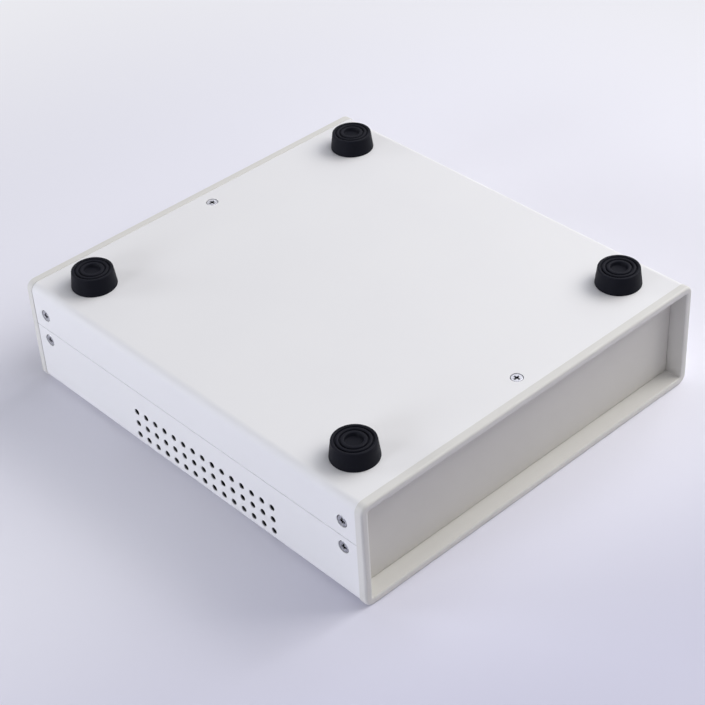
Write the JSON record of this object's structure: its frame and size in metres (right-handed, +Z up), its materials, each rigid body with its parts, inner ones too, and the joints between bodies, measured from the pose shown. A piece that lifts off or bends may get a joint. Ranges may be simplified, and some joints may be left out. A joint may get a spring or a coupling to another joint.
{
  "type": "instrument enclosure",
  "caption": "Desktop instrument case of folded sheet metal held between moulded front and rear bezels, with vented sides, plain end panels and round rubber feet, lying on its cover",
  "frame": {"origin": "on the surface that the case lies on, below the middle of its bezels", "axes": "+X across the width, with the left side at -X when the front is faced as it lies; +Y from the front bezel to the rear bezel; +Z up with the case lying on its cover, so the feet point to +Z. A half turn about X stands it on its feet."},
  "size_m": [0.2, 0.22, 0.0617],
  "materials": {
    "shell_powder_coat": "fine satin off-white powder coat on folded steel",
    "bezel_plastic": "finely textured warm off-white moulded plastic",
    "panel_aluminium": "matt natural anodised sheet",
    "foot_rubber": "matt black moulded rubber with rings on its face",
    "screw_steel": "bright plated countersunk cross-recess screws"
  },
  "bodies": {
    "root": {"base_shell": "shell_powder_coat", "top_cover": "shell_powder_coat", "front_bezel": "bezel_plastic", "rear_bezel": "bezel_plastic", "front_panel": "panel_aluminium", "rear_panel": "panel_aluminium", "foot_left_front": "foot_rubber", "foot_left_rear": "foot_rubber", "foot_right_front": "foot_rubber", "foot_right_rear": "foot_rubber", "screw_base_plate_front": "screw_steel", "screw_base_leg_left_front": "screw_steel", "screw_cover_leg_left_front": "screw_steel", "screw_base_leg_right_front": "screw_steel", "screw_cover_leg_right_front": "screw_steel", "screw_base_plate_rear": "screw_steel", "screw_base_leg_left_rear": "screw_steel", "screw_cover_leg_left_rear": "screw_steel", "screw_base_leg_right_rear": "screw_steel", "screw_cover_leg_right_rear": "screw_steel"}
  },
  "joints": []
}
